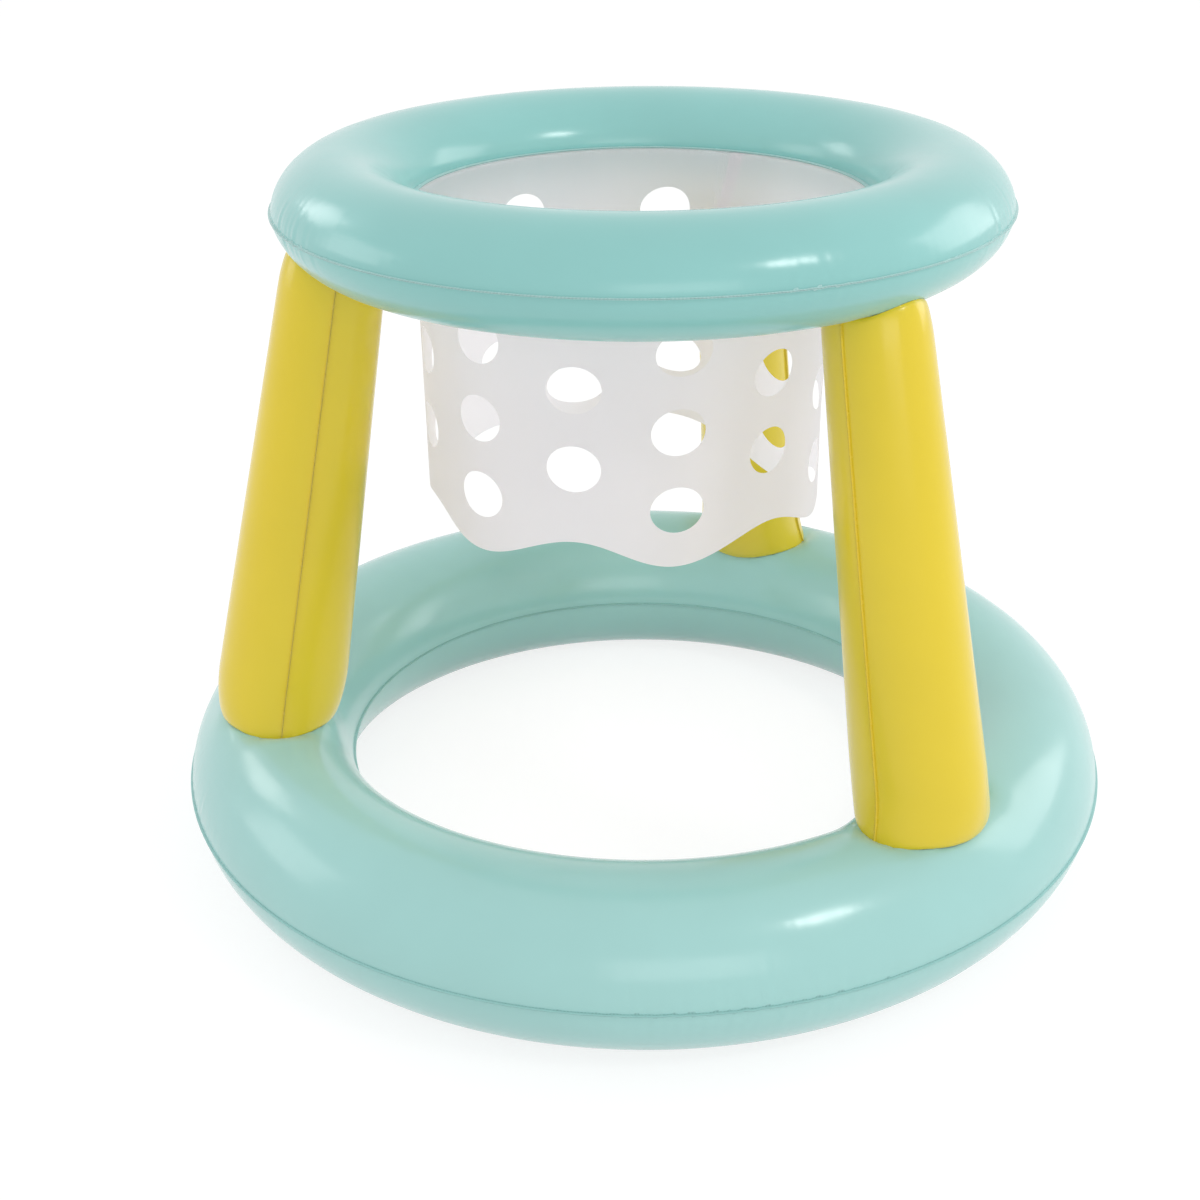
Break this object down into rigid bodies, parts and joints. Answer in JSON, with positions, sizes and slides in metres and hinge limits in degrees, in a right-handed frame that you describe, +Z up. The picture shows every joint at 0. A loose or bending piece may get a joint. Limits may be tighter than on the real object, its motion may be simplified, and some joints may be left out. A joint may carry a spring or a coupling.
{
  "type": "floating basketball hoop",
  "caption": "Inflatable floating pool hoop: a wide base ring, tapered legs that lean inwards, a smaller hoop ring and a hanging punched net with a scalloped edge.",
  "frame": {"origin": "centre of the flat under the base ring, on the surface that the toy stands on", "axes": "+Z up through the hoop, -Y towards the open front between two legs"},
  "size_m": [0.86, 0.86, 0.64],
  "materials": {
    "mint_vinyl": "glossy mint vinyl, slightly translucent",
    "yellow_vinyl": "glossy yellow vinyl",
    "white_vinyl": "semi-gloss milky white vinyl",
    "clear_vinyl": "soft natural vinyl of the valves"
  },
  "bodies": {
    "hoop": {"back_leg_foot_disc": "yellow_vinyl", "back_leg_head_disc": "yellow_vinyl", "back_leg_inner_panel": "yellow_vinyl", "back_leg_outer_panel": "yellow_vinyl", "back_leg_valve_patch": "clear_vinyl", "base_ring_lower_panel": "mint_vinyl", "base_ring_upper_panel": "mint_vinyl", "base_valve_patch": "clear_vinyl", "hoop_ring_lower_panel": "mint_vinyl", "hoop_ring_upper_panel": "mint_vinyl", "hoop_valve_patch": "clear_vinyl", "left_leg_foot_disc": "yellow_vinyl", "left_leg_head_disc": "yellow_vinyl", "left_leg_inner_panel": "yellow_vinyl", "left_leg_outer_panel": "yellow_vinyl", "left_leg_valve_patch": "clear_vinyl", "net_skirt": "white_vinyl", "right_leg_foot_disc": "yellow_vinyl", "right_leg_head_disc": "yellow_vinyl", "right_leg_inner_panel": "yellow_vinyl", "right_leg_outer_panel": "yellow_vinyl", "right_leg_valve_patch": "clear_vinyl"},
    "base valve stem": {"base_valve_stem": "clear_vinyl"},
    "base valve plug": {"base_valve_plug": "clear_vinyl"},
    "base valve flap": {"base_valve_flap": "clear_vinyl"},
    "hoop valve stem": {"hoop_valve_stem": "clear_vinyl"},
    "hoop valve plug": {"hoop_valve_plug": "clear_vinyl"},
    "hoop valve flap": {"hoop_valve_flap": "clear_vinyl"},
    "left leg valve stem": {"left_leg_valve_stem": "clear_vinyl"},
    "left leg valve plug": {"left_leg_valve_plug": "clear_vinyl"},
    "left leg valve flap": {"left_leg_valve_flap": "clear_vinyl"},
    "right leg valve stem": {"right_leg_valve_stem": "clear_vinyl"},
    "right leg valve plug": {"right_leg_valve_plug": "clear_vinyl"},
    "right leg valve flap": {"right_leg_valve_flap": "clear_vinyl"},
    "back leg valve stem": {"back_leg_valve_stem": "clear_vinyl"},
    "back leg valve plug": {"back_leg_valve_plug": "clear_vinyl"},
    "back leg valve flap": {"back_leg_valve_flap": "clear_vinyl"}
  },
  "joints": [
    {"name": "base_valve_stem_pull", "type": "slide", "parent": "hoop", "child": "base valve stem", "axis": [-0.3537, 0.6126, 0.7069], "range_m": [0, 0.012]},
    {"name": "base_valve_plug_open", "type": "hinge", "parent": "base valve stem", "child": "base valve plug", "pos_m": [-0.21076, 0.34904, 0.12621], "axis": [0.3534, -0.6122, 0.7073], "range_deg": [0, 150]},
    {"name": "base_valve_flap_open", "type": "hinge", "parent": "base valve stem", "child": "base valve flap", "pos_m": [-0.2, 0.33941, 0.1125], "axis": [-0.3534, 0.6122, -0.7073], "range_deg": [0, 60], "stiffness_Nm_per_rad": 0.0002},
    {"name": "hoop_valve_stem_pull", "type": "slide", "parent": "hoop", "child": "hoop valve stem", "axis": [-0.3688, 0.7239, 0.5831], "range_m": [0, 0.012]},
    {"name": "hoop_valve_plug_open", "type": "hinge", "parent": "hoop valve stem", "child": "hoop valve plug", "pos_m": [-0.14485, 0.26667, 0.61659], "axis": [0.2647, -0.5195, 0.8124], "range_deg": [0, 150]},
    {"name": "hoop_valve_flap_open", "type": "hinge", "parent": "hoop valve stem", "child": "hoop valve flap", "pos_m": [-0.13369, 0.25467, 0.60528], "axis": [-0.2647, 0.5195, -0.8124], "range_deg": [0, 60], "stiffness_Nm_per_rad": 0.0002},
    {"name": "left_leg_valve_stem_pull", "type": "slide", "parent": "hoop", "child": "left leg valve stem", "axis": [0.4768, 0.8692, -0.1307], "range_m": [0, 0.012]},
    {"name": "left_leg_valve_plug_open", "type": "hinge", "parent": "left leg valve stem", "child": "left leg valve plug", "pos_m": [-0.26541, -0.02355, 0.33654], "axis": [0.8579, -0.4926, -0.1461], "range_deg": [0, 150]},
    {"name": "left_leg_valve_flap_open", "type": "hinge", "parent": "left leg valve stem", "child": "left leg valve flap", "pos_m": [-0.27552, -0.04061, 0.33466], "axis": [-0.8579, 0.4926, 0.1461], "range_deg": [0, 60], "stiffness_Nm_per_rad": 0.0002},
    {"name": "right_leg_valve_stem_pull", "type": "slide", "parent": "hoop", "child": "right leg valve stem", "axis": [0.108, 0.9855, -0.1307], "range_m": [0, 0.012]},
    {"name": "right_leg_valve_plug_open", "type": "hinge", "parent": "right leg valve stem", "child": "right leg valve plug", "pos_m": [0.2039, -0.17153, 0.33654], "axis": [0.9853, -0.0886, 0.1461], "range_deg": [0, 150]},
    {"name": "right_leg_valve_flap_open", "type": "hinge", "parent": "right leg valve stem", "child": "right leg valve flap", "pos_m": [0.2024, -0.19129, 0.33466], "axis": [-0.9853, 0.0886, -0.1461], "range_deg": [0, 60], "stiffness_Nm_per_rad": 0.0002},
    {"name": "back_leg_valve_stem_pull", "type": "slide", "parent": "hoop", "child": "back leg valve stem", "axis": [-0.3514, -0.9155, -0.196], "range_m": [0, 0.012]},
    {"name": "back_leg_valve_plug_open", "type": "hinge", "parent": "back leg valve stem", "child": "back leg valve plug", "pos_m": [0.08909, 0.23208, 0.33342], "axis": [-0.9336, 0.3584, 0], "range_deg": [0, 150]},
    {"name": "back_leg_valve_flap_open", "type": "hinge", "parent": "back leg valve stem", "child": "back leg valve flap", "pos_m": [0.09622, 0.25066, 0.33281], "axis": [0.9336, -0.3584, 0], "range_deg": [0, 60], "stiffness_Nm_per_rad": 0.0002}
  ]
}
